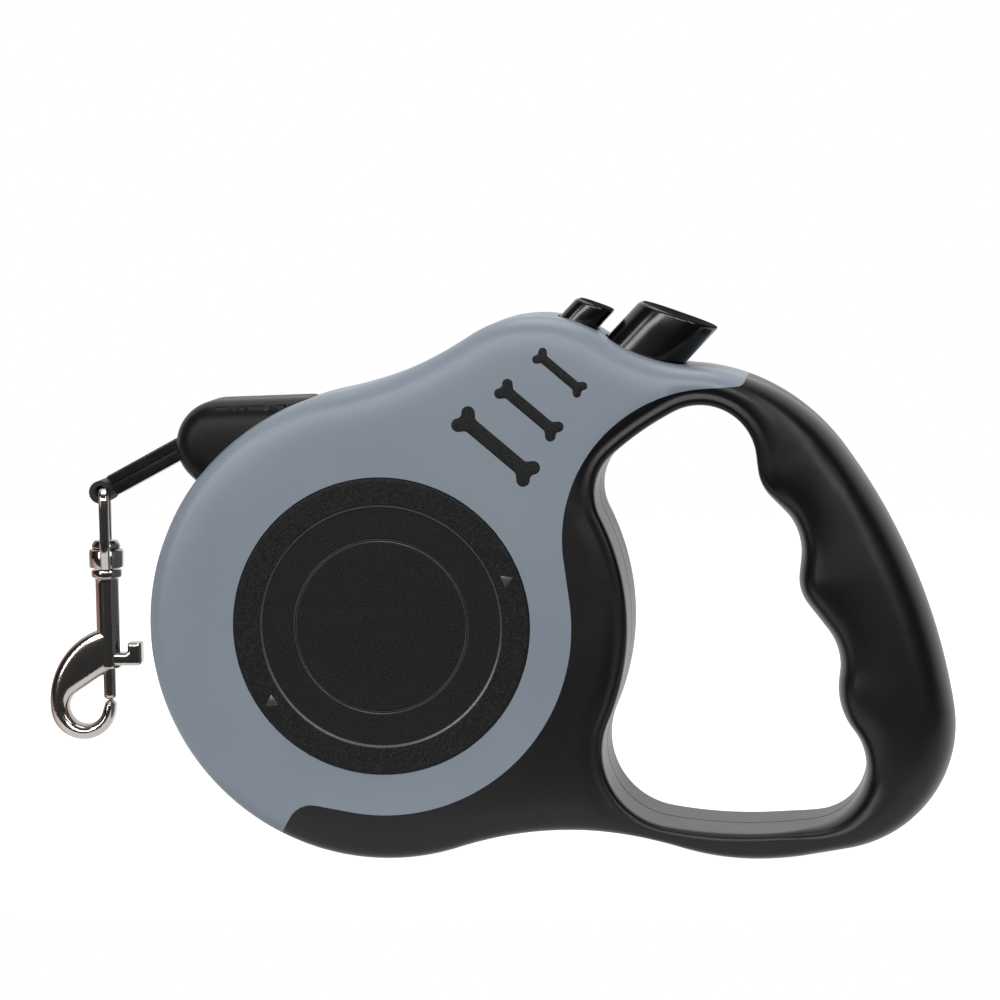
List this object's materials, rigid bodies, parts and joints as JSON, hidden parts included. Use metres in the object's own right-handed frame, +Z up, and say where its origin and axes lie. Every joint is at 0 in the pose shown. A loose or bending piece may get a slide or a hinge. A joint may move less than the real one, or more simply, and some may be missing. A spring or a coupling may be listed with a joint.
{
  "type": "retractable leash",
  "caption": "Retractable tape leash: spring-wound spool in a clamshell casing with a finger-grip handle, brake and lock buttons, and a swivel snap hook on the tape.",
  "frame": {"origin": "on the floor under the axis of the casing's disc, in the middle plane between the two halves", "axes": "+X from the snap hook towards the hand grip, +Z up, front face at -Y"},
  "size_m": [0.1865, 0.0284, 0.1132],
  "materials": {
    "grey_shell": "satin moulded ABS, fine grain",
    "black_grip": "matte soft-touch TPR moulded over the shell",
    "hub_rubber": "matte sparkle-grained TPR",
    "bone_rubber": "matte TPR",
    "nozzle_black": "fine-grained ABS",
    "button_black": "polished ABS",
    "acetal": "natural acetal",
    "black_acetal": "moulded nylon",
    "spring_steel": "tempered, oiled",
    "steel": "zinc plated",
    "nylon_tape": "flat-woven nylon webbing",
    "sleeve_black": "moulded PVC, semi-gloss",
    "plated_zinc": "nickel-plated zinc casting"
  },
  "bodies": {
    "casing": {"front_shell": "grey_shell", "rear_shell": "grey_shell", "front_grip": "black_grip", "rear_grip": "black_grip", "front_hub_pad": "hub_rubber", "rear_hub_pad": "hub_rubber", "front_bone_inlays": "bone_rubber", "rear_bone_inlays": "bone_rubber", "nozzle": "nozzle_black", "tape_guide_pin": "steel", "casing_screws": "steel", "spool_axle": "steel", "thrust_washers": "acetal", "leash_tape_run": "nylon_tape", "brake_spring": "spring_steel", "lock_spring": "spring_steel"},
    "spool": {"spool_drum": "black_acetal", "ratchet_wheel": "black_acetal", "spool_bushes": "acetal", "power_spring": "spring_steel", "leash_tape_wound": "nylon_tape"},
    "brake": {"brake_button": "button_black", "brake_pawl": "steel"},
    "lock": {"lock_button": "button_black", "lock_latch": "button_black"},
    "leash_end": {"end_sleeve_lower": "sleeve_black", "end_sleeve_upper": "sleeve_black", "sleeve_rivets": "steel", "leash_tape_end": "nylon_tape"},
    "eye": {"swivel_eye": "plated_zinc"},
    "hook": {"snap_body": "plated_zinc", "swivel_stud": "plated_zinc"},
    "bolt": {"snap_bolt": "plated_zinc", "bolt_spring": "spring_steel"}
  },
  "joints": [
    {"name": "leash_pull", "type": "slide", "parent": "casing", "child": "leash_end", "axis": [-0.8846, 0, -0.4664], "range_m": [0, 3], "stiffness_N_per_m": 1.5, "springref_m": -2},
    {"name": "spool_spin", "type": "hinge", "parent": "casing", "child": "spool", "pos_m": [0, 0, 0.048], "axis": [0, -1, 0], "range_deg": [0, 5760.01], "deforming": ["power_spring", "leash_tape_wound"]},
    {"name": "brake_press", "type": "slide", "parent": "casing", "child": "brake", "axis": [-0.6948, 0, -0.7192], "range_m": [0, 0.0035], "stiffness_N_per_m": 800, "springref_m": -0.002, "deforming": ["brake_spring"]},
    {"name": "lock_press", "type": "slide", "parent": "casing", "child": "lock", "axis": [-0.6948, 0, -0.7192], "range_m": [0, 0.003], "stiffness_N_per_m": 500, "springref_m": -0.002, "deforming": ["lock_spring"]},
    {"name": "eye_swing", "type": "hinge", "parent": "leash_end", "child": "eye", "pos_m": [-0.05899, 0, 0.07471], "axis": [0, 1, 0], "range_deg": [-1, 120]},
    {"name": "hook_swivel", "type": "hinge", "parent": "eye", "child": "hook", "pos_m": [-0.05899, 0, 0.06071], "axis": [0, 0, 1], "continuous": true},
    {"name": "bolt_slide", "type": "slide", "parent": "hook", "child": "bolt", "axis": [0, 0, 1], "range_m": [0, 0.0055], "stiffness_N_per_m": 250, "springref_m": -0.003, "deforming": ["bolt_spring"]}
  ],
  "couplings": [
    {"joint": "spool_spin", "follows": "leash_pull", "rad_per_m": 33.51}
  ]
}
